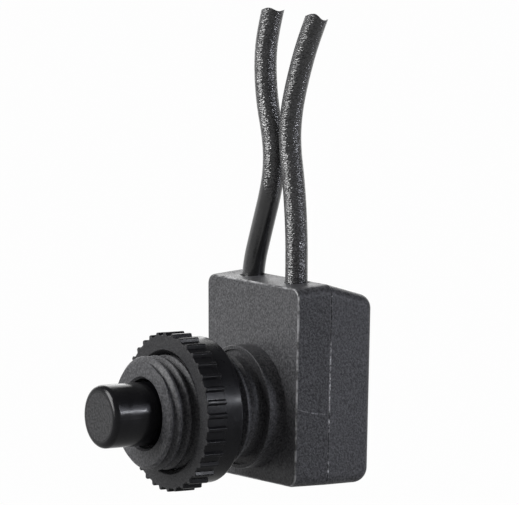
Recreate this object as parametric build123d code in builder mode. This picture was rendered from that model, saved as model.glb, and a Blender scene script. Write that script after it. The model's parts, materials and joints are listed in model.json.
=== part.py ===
from build123d import *
import math
import os

# Push-on, push-off switch for a panel hole. The origin is on the bushing axis at the face of the
# collar that seats on the panel. The button faces -Y, the body lies on +Y, and the leads rise along +Z.
# All sizes are in millimetres.

# Threaded bushing
thread_diameter = 12.7
thread_pitch = 1.27
thread_depth = 0.65
thread_crest = 0.32
thread_root = 0.2
bushing_length = 12.3
land_length = 1.1
tip_chamfer = 0.55
bore_chamfer = 0.25
relief_length = 0.9
relief_depth = 0.1
bore_diameter = 7.82
lip_length = 1.4
bushing_wall = 0.95
key_width = 0.9
key_height = 0.5
key_clearance = 0.1

# Collar that seats on the panel
collar_diameter = 13.8
collar_height = 2.1
collar_edge = 0.12
recess_margin = 0.1
recess_depth = 0.25

# Body, measured at the parting plane between its halves
body_width_top = 19.3
body_width_bottom = 18.3
height_above_axis = 14.25
height_below_axis = 8.23
front_depth = 4.15
rear_depth = 5.95
front_draft = 0.3
rear_draft = 0.3
rear_top_drop = 1.72
corner_radius = 1.2
rear_radius = 1.7
front_edge_radius = 0.25
parting_chamfer = 0.08
wall = 1.25
tongue_wall = 0.7
tongue_length = 0.5
tongue_clearance = 0.05

# Ring nut
nut_diameter = 16.3
nut_thickness = 5.08
nut_to_collar = 4.13
nut_thread_clearance = 0.1
nut_chamfer = 0.5
nut_edge_radius = 0.3
rib_ring_diameter = 17.06
rib_count = 36
rib_start_angle = 3
rib_height = 0.34
rib_base = 0.86
rib_tip = 0.32
rib_length = 2.5

# Button
button_diameter = 7.06
button_protrusion = 5.62
button_rim_radius = 0.65
button_end_wall = 3.4
button_stroke = 2.8
flange_clearance = 0.3
flange_thickness = 1.2
flange_rest_gap = 0.15
skirt_wall = 0.93

# Return spring and its seat
spring_length = 10.3
spring_wire = 0.5
spring_clearance = 0.45
spring_turns = 8
spring_end_gap = 0.05
seat_thickness = 0.2
seat_clearance = 0.3
seat_hole = 2.0

# Rotor, its pins and washer
index_angle = 45
stem_clearance = 0.4
disc_diameter = 10.0
disc_thickness = 1.4
disc_gap = 0.85
hub_diameter = 4.2
hub_length = 2.5
drive_pin_diameter = 1.0
drive_pin_setback = 2.5
drive_pin_inset = 0.15
slot_clearance = 0.35
skirt_end_clearance = 0.2
pivot_diameter = 2.0
pivot_clearance = 0.05
pivot_reach = 4.8
pivot_seat = 1.7
boss_diameter = 4.0
washer_thickness = 0.15
washer_gap = 0.05

# Contacts
plate_thickness = 0.4
plate_ring_diameter = 6.6
plate_fit = 0.02
arm_count = 4
arm_width = 1.9
contact_radius = 4.0
arm_overhang = 0.8
pip_diameter = 1.4
pip_height = 0.5
pip_edge = 0.2
pip_shank_diameter = 0.7
contact_gap = 0.15
rivet_diameter = 1.8
rivet_height = 0.5
rivet_edge = 0.2
rivet_shank_diameter = 0.9

# Terminals
blade_thickness = 0.5
blade_width = 2.3
blade_margin = 1.1
shelf_below_barrel = 0.5
barrel_wall = 0.4
barrel_length = 2.7
barrel_lap = 0.25
pad_drop = 0.7

# Leads
lead_diameter = 2.5
lead_spacing = 9.0
lead_clearance = 0.1
lead_to_parting = 0.05
lead_bend_share = 0.45
strip_length = 3.2
strip_gap = 0.5
conductor_diameter = 1.2

# Places along the axis, from the front to the rear
tip_y = -bushing_length
lip_y = tip_y + lip_length
front_y = collar_height
cavity_y = front_y + wall
parting_y = front_y + front_depth
rear_y = parting_y + rear_depth
rear_inner_y = rear_y - wall
nut_rear_y = -nut_to_collar
nut_front_y = nut_rear_y - nut_thickness
button_front_y = tip_y - button_protrusion
button_bore_y = button_front_y + button_end_wall
flange_y = lip_y + flange_rest_gap
seat_y = button_bore_y + spring_length
stem_y = seat_y + seat_thickness
drive_pin_y = stem_y + drive_pin_setback
disc_y = cavity_y + disc_gap
plate_y = disc_y + disc_thickness
pip_y = plate_y + plate_thickness
rivet_y = pip_y + pip_height + contact_gap
blade_y = rivet_y + rivet_height
pad_y = blade_y + blade_thickness
hub_y = plate_y + hub_length
washer_y = hub_y + washer_gap
boss_y = washer_y + washer_thickness
skirt_y = disc_y - skirt_end_clearance - button_stroke
lead_y = parting_y - lead_to_parting - lead_diameter / 2

# Radii about the axis
thread_r = thread_diameter / 2
root_r = thread_r - thread_depth
counterbore_r = root_r - bushing_wall
bore_r = bore_diameter / 2
button_r = button_diameter / 2
skirt_bore_r = button_r - skirt_wall
flange_r = counterbore_r - flange_clearance
stem_r = skirt_bore_r - stem_clearance
pivot_r = pivot_diameter / 2
hub_r = hub_diameter / 2

# Heights and half widths of the body
top_z = height_above_axis
bottom_z = -height_below_axis
front_top_z = top_z - front_draft
rear_top_z = top_z - rear_top_drop
cavity_top_z = front_top_z - wall
cavity_bottom_z = bottom_z + wall
cavity_half_width = body_width_bottom / 2 - wall
cover_inset = tongue_wall + tongue_clearance
rear_slope = rear_top_drop / rear_depth
cover_top_rear_z = rear_top_z + rear_slope * wall - wall
mid_z = (top_z + bottom_z) / 2
mid_half_width = (body_width_top + body_width_bottom) / 4
side_taper = (body_width_top - body_width_bottom) / 2 / (top_z - bottom_z)

# Places of the contacts and terminals
contact_xz = contact_radius * math.cos(math.radians(index_angle))
lead_x = lead_spacing / 2
lead_end_z = cavity_top_z - strip_gap - lead_diameter / 2
barrel_top_z = lead_end_z - strip_gap
barrel_bottom_z = barrel_top_z - barrel_length
conductor_bottom_z = lead_end_z - strip_length
tab_y = lead_y + conductor_diameter / 2 + barrel_wall - barrel_lap
shelf_z = barrel_bottom_z - shelf_below_barrel

# Route of each lead above the body, seen in the photograph, from the end inside the body upwards
lead_routes = {
    "lead_left": [
        (-lead_x, lead_y, lead_end_z), (-lead_x, lead_y, 14.6), (-2.7, 4.95, 19.3), (-0.66, 4.9, 24.1),
        (-0.1, 4.9, 27.05), (-0.4, 4.9, 30.0), (-1.85, 4.95, 34.0), (-2.37, 5.0, 38.0),
        (-2.05, 5.05, 41.2), (-1.02, 5.1, 44.1),
    ],
    "lead_right": [
        (lead_x, lead_y, lead_end_z), (lead_x, lead_y, 14.9), (4.3, 5.05, 19.5), (3.65, 5.1, 24.7),
        (2.7, 5.1, 28.9), (2.7, 5.1, 31.7), (3.45, 5.05, 34.7), (5.1, 5.0, 38.7),
        (6.65, 4.95, 41.6), (8.14, 4.9, 43.9),
    ],
}

os.makedirs("parts", exist_ok=True)


def at_depth(y):
    # Plane across the axis at depth y, with X to the right, Z up and its normal to the front
    return Plane.XZ.offset(-y)


def side_plane(side, slope):
    # Drafted side of the body: slope is its growth in X for each step to the rear
    return Plane(origin=(side * mid_half_width, parting_y, mid_z), z_dir=(side, -slope, -side_taper))


def save(part, name):
    part.label = name
    export_step(part, f"parts/{name}.step")


def bushing_outline():
    # Half section of the bushing with its thread grooves, from the body to the tip
    flank = (thread_pitch - thread_crest - thread_root) / 2
    turns = int((bushing_length - land_length - relief_length) / thread_pitch)
    relief_r = root_r - relief_depth
    points = [(0, cavity_y), (relief_r, cavity_y), (relief_r, -relief_length)]
    points.append((thread_r, -relief_length - flank / 2))
    for turn in range(turns, 0, -1):
        groove_y = tip_y + land_length + (turn - 1) * thread_pitch
        points += [
            (thread_r, groove_y + 2 * flank + thread_root),
            (root_r, groove_y + flank + thread_root),
            (root_r, groove_y + flank),
            (thread_r, groove_y),
        ]
    points += [(thread_r, tip_y + tip_chamfer), (thread_r - tip_chamfer, tip_y), (0, tip_y)]
    return points


def lead_notches():
    # Slots in the top wall that hold the leads, open to the parting plane
    notch_r = lead_diameter / 2 + lead_clearance
    with BuildSketch(Plane.XY.offset(cavity_top_z - 2 * cover_inset)) as notches:
        with Locations((-lead_x, lead_y), (lead_x, lead_y)):
            Circle(notch_r)
        with Locations((-lead_x, parting_y), (lead_x, parting_y)):
            Rectangle(2 * notch_r, parting_y - lead_y, align=(Align.CENTER, Align.MAX))
    return notches.sketch


def tube_radii(points):
    # Largest bend at each corner of a lead's route that its two runs leave room for
    corners = [Vector(*point) for point in points]
    radii = []
    for before, corner, after in zip(corners, corners[1:], corners[2:]):
        run_in = corner - before
        run_out = after - corner
        half_turn = math.radians(run_in.get_angle(run_out)) / 2
        radii.append(lead_bend_share * min(run_in.length, run_out.length) / math.tan(half_turn))
    return radii


# Front half of the body, with the collar and the threaded bushing
with BuildPart() as front_housing:
    with BuildSketch(Plane.YZ):
        Polygon(
            (front_y, bottom_z), (front_y, front_top_z), (parting_y, top_z), (parting_y, bottom_z),
            align=None,
        )
    extrude(amount=body_width_top, both=True)
    for side in (-1, 1):
        split(bisect_by=side_plane(side, front_draft / front_depth), keep=Keep.BOTTOM)
    long_edges = front_housing.edges().filter_by(lambda e: e.bounding_box().size.Y > 0.9 * front_depth)
    fillet(long_edges, corner_radius)
    fillet(front_housing.faces().sort_by(Axis.Y)[0].edges(), front_edge_radius)
    chamfer(front_housing.faces().sort_by(Axis.Y)[-1].edges(), parting_chamfer)
    with BuildSketch(at_depth(front_y)):
        Circle(collar_diameter / 2)
    extrude(amount=collar_height)
    collar_rim = front_housing.faces().sort_by(Axis.Y)[0].edges()
    fillet(collar_rim, collar_edge)
    with BuildSketch(at_depth(0)):
        Circle(thread_r + recess_margin)
    extrude(amount=-recess_depth, mode=Mode.SUBTRACT)
    with BuildSketch(Plane.XY):
        Polygon(*bushing_outline(), align=None)
    revolve(axis=Axis.Y)
    with BuildSketch(Plane.YZ):
        Polygon(
            (cavity_y, cavity_bottom_z), (cavity_y, cavity_top_z), (parting_y, cavity_top_z),
            (parting_y, cavity_bottom_z), align=None,
        )
    extrude(amount=cavity_half_width, both=True, mode=Mode.SUBTRACT)
    with BuildSketch(Plane.XY):
        Polygon(
            (0, tip_y), (bore_r + bore_chamfer, tip_y), (bore_r, tip_y + bore_chamfer),
            (bore_r, lip_y), (counterbore_r, lip_y), (counterbore_r, cavity_y), (0, cavity_y),
            align=None,
        )
    revolve(axis=Axis.Y, mode=Mode.SUBTRACT)
    with BuildSketch(at_depth(lip_y)):
        with Locations((0, counterbore_r), (0, -counterbore_r)):
            Rectangle(key_width, 2 * key_height)
    extrude(amount=lip_y - cavity_y)
    extrude(lead_notches(), amount=height_above_axis, mode=Mode.SUBTRACT)
save(front_housing.part, "front_housing")

# Rear half of the body
with BuildPart() as rear_cover:
    with BuildSketch(Plane.YZ):
        Polygon(
            (parting_y, bottom_z), (parting_y, top_z), (rear_y, rear_top_z), (rear_y, bottom_z),
            align=None,
        )
    extrude(amount=body_width_top, both=True)
    for side in (-1, 1):
        split(bisect_by=side_plane(side, -rear_draft / rear_depth), keep=Keep.BOTTOM)
    fillet(rear_cover.edges().filter_by(Axis.X).group_by(Axis.Y)[-1], rear_radius)
    side_faces = rear_cover.faces().sort_by(Axis.X)
    side_edges = side_faces[0].edges() + side_faces[-1].edges()
    fillet(side_edges.filter_by(lambda e: e.center().Y > parting_y + wall / 2), corner_radius)
    chamfer(rear_cover.faces().sort_by(Axis.Y)[0].edges(), parting_chamfer)
    # Tongue that enters the front half
    with BuildSketch(at_depth(parting_y + tongue_length)):
        with Locations((0, (cavity_top_z + cavity_bottom_z) / 2)):
            Rectangle(
                2 * (cavity_half_width - tongue_clearance),
                cavity_top_z - cavity_bottom_z - 2 * tongue_clearance,
            )
    extrude(amount=2 * tongue_length)
    with BuildSketch(Plane.YZ):
        Polygon(
            (parting_y - tongue_length, cavity_bottom_z + cover_inset),
            (parting_y - tongue_length, cavity_top_z - cover_inset),
            (parting_y, cavity_top_z - cover_inset),
            (rear_inner_y, cover_top_rear_z - cover_inset),
            (rear_inner_y, cavity_bottom_z + cover_inset),
            align=None,
        )
    extrude(amount=cavity_half_width - cover_inset, both=True, mode=Mode.SUBTRACT)
    extrude(lead_notches(), amount=4 * cover_inset, mode=Mode.SUBTRACT)
    # Boss for the pivot pin
    with BuildSketch(at_depth(rear_inner_y)):
        Circle(boss_diameter / 2)
    extrude(amount=rear_inner_y - boss_y)
    with BuildSketch(at_depth(boss_y)):
        Circle(pivot_r)
    extrude(amount=-pivot_seat, mode=Mode.SUBTRACT)
    # Pads behind the blades
    with BuildSketch(at_depth(rear_inner_y)):
        for side in (-1, 1):
            pad_top_z = shelf_z - pad_drop
            pad_bottom_z = side * contact_xz - blade_margin
            with Locations((side * lead_x, pad_bottom_z)):
                Rectangle(blade_width, pad_top_z - pad_bottom_z, align=(Align.CENTER, Align.MIN))
    extrude(amount=rear_inner_y - pad_y)
save(rear_cover.part, "rear_cover")

# Ring nut, ribbed on its front half
with BuildPart() as mounting_nut:
    with BuildSketch(at_depth(nut_rear_y)):
        Circle(nut_diameter / 2)
    extrude(amount=nut_thickness)
    fillet(mounting_nut.faces().sort_by(Axis.Y)[-1].edges(), nut_edge_radius)
    with BuildSketch(at_depth(nut_front_y + rib_length)):
        Circle(rib_ring_diameter / 2)
        with PolarLocations(rib_ring_diameter / 2, rib_count, start_angle=rib_start_angle):
            rib_foot = rib_height / 2
            Polygon(
                (-rib_foot, -rib_base / 2), (0, -rib_base / 2), (rib_height, -rib_tip / 2),
                (rib_height, rib_tip / 2), (0, rib_base / 2), (-rib_foot, rib_base / 2),
                align=None,
            )
    extrude(amount=rib_length)
    with BuildSketch(Plane.XY):
        nut_bore_r = thread_r + nut_thread_clearance
        Polygon(
            (0, nut_front_y), (nut_bore_r + nut_chamfer, nut_front_y),
            (nut_bore_r, nut_front_y + nut_chamfer), (nut_bore_r, nut_rear_y - nut_chamfer),
            (nut_bore_r + nut_chamfer, nut_rear_y), (0, nut_rear_y), align=None,
        )
    revolve(axis=Axis.Y, mode=Mode.SUBTRACT)
save(mounting_nut.part, "mounting_nut")

# Button with its stop flange and the skirt that drives the rotor
with BuildPart() as push_button:
    with BuildSketch(at_depth(skirt_y)):
        Circle(button_r)
    extrude(amount=skirt_y - button_front_y)
    fillet(push_button.faces().sort_by(Axis.Y)[0].edges(), button_rim_radius)
    with BuildSketch(at_depth(flange_y + flange_thickness)):
        Circle(flange_r)
        with Locations((0, counterbore_r), (0, -counterbore_r)):
            Rectangle(
                key_width + 2 * key_clearance, 2 * (key_height + key_clearance), mode=Mode.SUBTRACT
            )
    extrude(amount=flange_thickness)
    with BuildSketch(at_depth(skirt_y)):
        Circle(skirt_bore_r)
    extrude(amount=skirt_y - button_bore_y, mode=Mode.SUBTRACT)
    # Slanted slots for the drive pin
    half_index = math.radians(index_angle / 2)
    slot_rise = 2 * (button_r - skirt_wall / 2) * math.sin(half_index)
    for side in (-1, 1):
        slot_normal = (side * math.cos(half_index), 0, -side * math.sin(half_index))
        with BuildSketch(Plane(origin=(0, 0, 0), x_dir=(0, 1, 0), z_dir=slot_normal)):
            with Locations((drive_pin_y - button_stroke / 2, 0)):
                SlotCenterToCenter(
                    math.hypot(button_stroke, slot_rise),
                    drive_pin_diameter + 2 * slot_clearance,
                    rotation=math.degrees(math.atan2(slot_rise, button_stroke)),
                )
        extrude(amount=2 * button_r, mode=Mode.SUBTRACT)
save(push_button.part, "push_button")

# Return spring between the button and the rotor
with BuildPart() as return_spring:
    coil_r = skirt_bore_r - spring_clearance - spring_wire / 2
    coil_height = spring_length - spring_wire - 2 * spring_end_gap
    coil_start_y = button_bore_y + spring_end_gap + spring_wire / 2
    with BuildLine() as coil:
        Helix(
            coil_height / spring_turns, coil_height, coil_r,
            center=(0, coil_start_y, 0), direction=(0, 1, 0),
        )
    with BuildSketch(Plane(origin=coil.line @ 0, z_dir=coil.line % 0)):
        Circle(spring_wire / 2)
    sweep(path=coil.line, is_frenet=True)
save(return_spring.part, "return_spring")

# Washer between the spring and the rotor
with BuildPart() as spring_seat:
    with BuildSketch(at_depth(stem_y)):
        Circle(skirt_bore_r - seat_clearance)
        Circle(seat_hole / 2, mode=Mode.SUBTRACT)
    extrude(amount=seat_thickness)
save(spring_seat.part, "spring_seat")

# Rotor that turns a step at each stroke
with BuildPart() as contact_rotor:
    with BuildSketch(at_depth(hub_y)):
        Circle(hub_r)
    extrude(amount=hub_y - plate_y)
    with BuildSketch(at_depth(plate_y)):
        Circle(disc_diameter / 2)
    extrude(amount=disc_thickness)
    with BuildSketch(at_depth(disc_y)):
        Circle(stem_r)
    extrude(amount=disc_y - stem_y)
    with BuildSketch(at_depth(hub_y)):
        Circle(pivot_r + pivot_clearance)
    extrude(amount=pivot_reach + pivot_clearance, mode=Mode.SUBTRACT)
    with BuildSketch(Plane.YZ):
        with Locations((drive_pin_y, 0)):
            Circle(drive_pin_diameter / 2)
    extrude(amount=stem_r, both=True, mode=Mode.SUBTRACT)
save(contact_rotor.part, "contact_rotor")

# Cross pin of the rotor
with BuildPart() as drive_pin:
    with BuildSketch(Plane.YZ):
        with Locations((drive_pin_y, 0)):
            Circle(drive_pin_diameter / 2)
    extrude(amount=button_r - drive_pin_inset, both=True)
save(drive_pin.part, "drive_pin")

# Pin that the rotor turns on, seated in the cover
with BuildPart() as pivot_pin:
    with BuildSketch(at_depth(boss_y + pivot_seat)):
        Circle(pivot_r)
    extrude(amount=boss_y + pivot_seat - hub_y + pivot_reach)
save(pivot_pin.part, "pivot_pin")

# Washer between the rotor and the boss
with BuildPart() as thrust_washer:
    with BuildSketch(at_depth(boss_y)):
        Circle(min(hub_diameter, boss_diameter) / 2)
        Circle(pivot_r + pivot_clearance, mode=Mode.SUBTRACT)
    extrude(amount=washer_thickness)
save(thrust_washer.part, "thrust_washer")

# Cross-shaped plate on the rotor
with BuildPart() as contact_plate:
    with BuildSketch(at_depth(pip_y)):
        Circle(plate_ring_diameter / 2)
        with PolarLocations(0, arm_count):
            Rectangle(contact_radius + arm_overhang, arm_width, align=(Align.MIN, Align.CENTER))
        Circle(hub_r + plate_fit, mode=Mode.SUBTRACT)
        with PolarLocations(contact_radius, arm_count):
            Circle(pip_shank_diameter / 2, mode=Mode.SUBTRACT)
    extrude(amount=plate_thickness)
save(contact_plate.part, "contact_plate")

# Silver pips on the arms of the plate
with BuildPart() as moving_contacts:
    with BuildSketch(at_depth(pip_y + pip_height)):
        with PolarLocations(contact_radius, arm_count):
            Circle(pip_diameter / 2)
    extrude(amount=pip_height)
    fillet(moving_contacts.edges().filter_by(GeomType.CIRCLE).group_by(Axis.Y)[-1], pip_edge)
    with BuildSketch(at_depth(pip_y)):
        with PolarLocations(contact_radius, arm_count):
            Circle(pip_shank_diameter / 2)
    extrude(amount=plate_thickness)
save(moving_contacts.part, "moving_contacts")

for side, hand in ((-1, "left"), (1, "right")):
    contact_z = side * contact_xz
    blade_bottom_z = contact_z - blade_margin

    # Terminal: crimp barrel, tab, shelf and contact blade, bent from one strip
    with BuildPart() as terminal:
        with BuildSketch(Plane.XY.offset(barrel_bottom_z)):
            with Locations((side * lead_x, lead_y)):
                Circle(conductor_diameter / 2 + barrel_wall)
        extrude(amount=barrel_length)
        with BuildSketch(at_depth(tab_y + blade_thickness)):
            with Locations((side * lead_x, shelf_z)):
                Rectangle(blade_width, barrel_top_z - shelf_z, align=(Align.CENTER, Align.MIN))
        extrude(amount=blade_thickness)
        with BuildSketch(at_depth(pad_y)):
            with Locations((side * lead_x, shelf_z)):
                Rectangle(blade_width, blade_thickness, align=(Align.CENTER, Align.MIN))
        extrude(amount=pad_y - tab_y)
        with BuildSketch(at_depth(pad_y)):
            with Locations((side * lead_x, blade_bottom_z)):
                Rectangle(
                    blade_width, shelf_z + blade_thickness - blade_bottom_z,
                    align=(Align.CENTER, Align.MIN),
                )
            foot_inner_x = contact_xz - blade_margin
            foot_outer_x = lead_x + blade_width / 2
            with Locations((side * (foot_inner_x + foot_outer_x) / 2, contact_z)):
                Rectangle(foot_outer_x - foot_inner_x, 2 * blade_margin)
            with Locations((side * contact_xz, contact_z)):
                Circle(rivet_shank_diameter / 2, mode=Mode.SUBTRACT)
        extrude(amount=blade_thickness)
        with BuildSketch(Plane.XY.offset(barrel_bottom_z)):
            with Locations((side * lead_x, lead_y)):
                Circle(conductor_diameter / 2)
        extrude(amount=barrel_length, mode=Mode.SUBTRACT)
    save(terminal.part, f"terminal_{hand}")

    # Silver rivet of the terminal
    with BuildPart() as fixed_contact:
        with BuildSketch(at_depth(blade_y)):
            with Locations((side * contact_xz, contact_z)):
                Circle(rivet_diameter / 2)
        extrude(amount=rivet_height)
        fillet(fixed_contact.edges().filter_by(GeomType.CIRCLE).group_by(Axis.Y)[0], rivet_edge)
        with BuildSketch(at_depth(pad_y)):
            with Locations((side * contact_xz, contact_z)):
                Circle(rivet_shank_diameter / 2)
        extrude(amount=blade_thickness)
    save(fixed_contact.part, f"fixed_contact_{hand}")

    # Stripped end of the lead in its barrel
    with BuildPart() as conductor:
        with BuildSketch(Plane.XY.offset(conductor_bottom_z)):
            with Locations((side * lead_x, lead_y)):
                Circle(conductor_diameter / 2)
        extrude(amount=lead_end_z - conductor_bottom_z)
    save(conductor.part, f"conductor_{hand}")

for name, route in lead_routes.items():
    radii = tube_radii(route)

    # Insulated lead along its route
    with BuildPart() as lead:
        with BuildLine() as lead_path:
            FilletPolyline(*route, radius=radii)
        with BuildSketch(Plane(origin=lead_path.line @ 0, z_dir=lead_path.line % 0)):
            Circle(lead_diameter / 2)
        sweep(path=lead_path.line)
    save(lead.part, name)
    lead_length = lead_path.wire().length
    expected = math.pi * lead_diameter**2 / 4 * lead_length
    print(f"{name}: radii {[round(r, 1) for r in radii]}, length {lead_length:.2f}")
    print(f"{name}: volume {lead.part.volume:.2f}, section times length {expected:.2f}")
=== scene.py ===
import json
import math
from collections import Counter

import bpy
from mathutils import Matrix, Quaternion, Vector


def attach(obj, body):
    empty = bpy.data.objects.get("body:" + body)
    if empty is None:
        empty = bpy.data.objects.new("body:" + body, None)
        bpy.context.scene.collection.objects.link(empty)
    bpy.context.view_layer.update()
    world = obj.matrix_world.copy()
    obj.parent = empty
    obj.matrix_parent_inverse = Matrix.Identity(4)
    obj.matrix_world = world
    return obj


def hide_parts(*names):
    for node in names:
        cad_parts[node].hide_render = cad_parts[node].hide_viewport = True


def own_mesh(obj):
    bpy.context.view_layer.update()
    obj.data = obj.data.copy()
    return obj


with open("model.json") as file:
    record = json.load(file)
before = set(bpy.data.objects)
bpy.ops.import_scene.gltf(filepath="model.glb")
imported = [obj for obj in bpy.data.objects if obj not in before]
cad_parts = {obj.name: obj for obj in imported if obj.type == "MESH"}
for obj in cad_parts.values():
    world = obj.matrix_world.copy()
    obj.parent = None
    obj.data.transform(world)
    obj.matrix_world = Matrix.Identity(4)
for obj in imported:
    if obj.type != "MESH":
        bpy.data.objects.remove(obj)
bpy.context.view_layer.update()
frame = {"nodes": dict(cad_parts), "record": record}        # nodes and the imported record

nodes = frame["nodes"]
mm = 0.001               # new pieces are modelled in millimetres, then shrunk to metres
touch = 0.01             # millimetres within which a corner counts as lying on a face
scene = bpy.context.scene
scene.view_settings.view_transform = "Standard"
print("frame:", len(nodes), "nodes")


# Camera at the place that the photograph was taken from
photoCamera = {
    "target": Vector((-0.00036, 0.00319, 0.01709)),    # what the middle of the picture shows
    "azimuth": 56.9,
    "elevation": 6.28,
    "roll": 0.54,
    "distance": 0.8332,
    "lens": 518.8,
    "sensor": 36.0,
    "clipEnd": 20.0,
}


def directionTo(azimuth, elevation):
    a = math.radians(azimuth)
    e = math.radians(elevation)
    return Vector((math.sin(a) * math.cos(e), -math.cos(a) * math.cos(e), math.sin(e)))


def addCamera(look):
    back = directionTo(look["azimuth"], look["elevation"])
    bpy.ops.object.camera_add(location=look["target"] + back * look["distance"])
    camera = bpy.context.object
    camera.rotation_mode = "QUATERNION"
    level = (-back).to_track_quat("-Z", "Y")
    camera.rotation_quaternion = level @ Quaternion((0, 0, 1), math.radians(look["roll"]))
    camera.data.sensor_width = look["sensor"]
    camera.data.lens = look["lens"]
    camera.data.clip_end = look["clipEnd"]
    scene.camera = camera


addCamera(photoCamera)
print("camera: lens", photoCamera["lens"])


# Work by hand on one piece at a time
def only(piece):
    if bpy.context.object and bpy.context.object.mode != "OBJECT":
        bpy.ops.object.mode_set(mode="OBJECT")
    bpy.ops.object.select_all(action="DESELECT")
    piece.select_set(True)
    bpy.context.view_layer.objects.active = piece


def pick(piece, kind, test):
    # leaves the piece in edit mode with only the corners, edges or open edges that pass selected
    bpy.ops.object.mode_set(mode="EDIT")
    bpy.ops.mesh.select_mode(type="VERT" if kind == "VERT" else "EDGE")
    bpy.ops.mesh.select_all(action="DESELECT")
    bpy.ops.object.mode_set(mode="OBJECT")
    mesh = piece.data
    if kind == "VERT":
        for corner in mesh.vertices:
            corner.select = test(corner.co)
    else:
        uses = Counter(key for face in mesh.polygons for key in face.edge_keys)
        for edge in mesh.edges:
            a, b = (mesh.vertices[i].co for i in edge.vertices)
            edge.select = test(a, b) and (kind == "EDGE" or uses[edge.key] == 1)
    bpy.ops.object.mode_set(mode="EDIT")


def alongY(a, b):
    return abs(a.y - b.y) > abs(a.x - b.x) + abs(a.z - b.z)


def drawProfile(name, points):
    # one corner, extruded from point to point; each point is (x, y)
    bpy.ops.object.select_all(action="DESELECT")
    bpy.ops.mesh.primitive_plane_add(size=1, location=(0, 0, 0))
    piece = bpy.context.object
    piece.name = name
    bpy.ops.object.mode_set(mode="EDIT")
    bpy.ops.mesh.select_mode(type="VERT")
    bpy.ops.mesh.select_all(action="SELECT")
    bpy.ops.mesh.merge(type="CENTER")
    bpy.ops.transform.translate(value=(points[0][0], points[0][1], 0))
    for before, after in zip(points, points[1:]):
        step = (after[0] - before[0], after[1] - before[1], 0)
        bpy.ops.mesh.extrude_region_move(TRANSFORM_OT_translate={"value": step})
    bpy.ops.object.mode_set(mode="OBJECT")
    return piece


def spinRound(piece, steps, merge):
    # turns a profile all the way round the Y axis
    only(piece)
    bpy.ops.object.mode_set(mode="EDIT")
    bpy.ops.mesh.select_all(action="SELECT")
    bpy.ops.mesh.spin(steps=steps, angle=math.tau, center=(0, 0, 0), axis=(0, 1, 0))
    bpy.ops.mesh.select_all(action="SELECT")
    bpy.ops.mesh.remove_doubles(threshold=merge)
    bpy.ops.mesh.normals_make_consistent(inside=False)
    bpy.ops.object.mode_set(mode="OBJECT")


def combine(piece, other, operation):
    # boolean with another piece, which is used up
    only(piece)
    cut = piece.modifiers.new("combine", "BOOLEAN")
    cut.operation = operation
    cut.solver = "EXACT"
    cut.object = other
    bpy.ops.object.modifier_apply(modifier=cut.name)
    bpy.data.objects.remove(other)


def finishPiece(piece, smoothAngle):
    # soft shading with flat faces kept flat, then down to metres
    only(piece)
    bpy.ops.object.shade_smooth_by_angle(angle=math.radians(smoothAngle))
    flat = piece.modifiers.new("flat faces", "WEIGHTED_NORMAL")
    flat.keep_sharp = True
    bpy.ops.object.modifier_apply(modifier=flat.name)
    piece.scale = (mm, mm, mm)
    bpy.ops.object.transform_apply(location=True, rotation=True, scale=True)


def cylinderAlong(axis, radius, start, end, place, sides):
    # solid cylinder along Y or Z, from start to end
    middle = (start + end) / 2
    if axis == "Y":
        turn, spot = (math.pi / 2, 0, 0), (place[0], middle, place[1])
    else:
        turn, spot = (0, 0, 0), (place[0], place[1], middle)
    bpy.ops.object.select_all(action="DESELECT")
    bpy.ops.mesh.primitive_cylinder_add(
        vertices=sides, radius=radius, depth=end - start, location=spot, rotation=turn)
    bpy.ops.object.transform_apply(location=True, rotation=True, scale=True)
    return bpy.context.object


def boxBetween(low, high):
    # block from its lowest to its highest corner
    bpy.ops.object.select_all(action="DESELECT")
    middle = [(a + b) / 2 for a, b in zip(low, high)]
    bpy.ops.mesh.primitive_cube_add(size=1, location=middle)
    block = bpy.context.object
    block.scale = [b - a for a, b in zip(low, high)]
    bpy.ops.object.transform_apply(location=True, rotation=True, scale=True)
    return block


# Leads: the route's points are those of the solids, from inside the body to the cut end
leads = {
    "diameter": 0.0025,
    "core": 0.0013,
    "coreDepth": 0.0005,
    "sides": 40,
    "fineness": 14,
    "exitHeight": 0.01416,
    "smoothAngle": 40,
    "sight": directionTo(photoCamera["azimuth"], photoCamera["elevation"]),
    "cutFall": 0.2,          # drop of the cut to its far side, as a share of the radius
    "cutBlend": 0.0035,      # stretch that the slant of the cut is eased over
    "left": {
        "node": "lead_left",
        "cutTilt": 0.02,         # slope of the cut's front rim to the right
        "cutWave": 0.0002,       # how far it swings up and down
        "route": [
            (-0.0045, 0.00495, 0.01095), (-0.0045, 0.00495, 0.0146), (-0.0027, 0.00495, 0.0193),
            (-0.00066, 0.0049, 0.0241), (-0.0001, 0.0049, 0.02705), (-0.0004, 0.0049, 0.03),
            (-0.00185, 0.00495, 0.034), (-0.00237, 0.005, 0.038), (-0.00205, 0.00505, 0.0412),
            (-0.00102, 0.0051, 0.0441),
        ],
    },
    "right": {
        "node": "lead_right",
        "cutTilt": -0.12,
        "cutWave": 0.00028,
        "route": [
            (0.0045, 0.00495, 0.01095), (0.0045, 0.00495, 0.0149), (0.0043, 0.00505, 0.0195),
            (0.00365, 0.0051, 0.0247), (0.0027, 0.0051, 0.0289), (0.0027, 0.0051, 0.0317),
            (0.00345, 0.00505, 0.0347), (0.0051, 0.005, 0.0387), (0.00665, 0.00495, 0.0416),
            (0.00814, 0.0049, 0.0439),
        ],
    },
}


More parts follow.
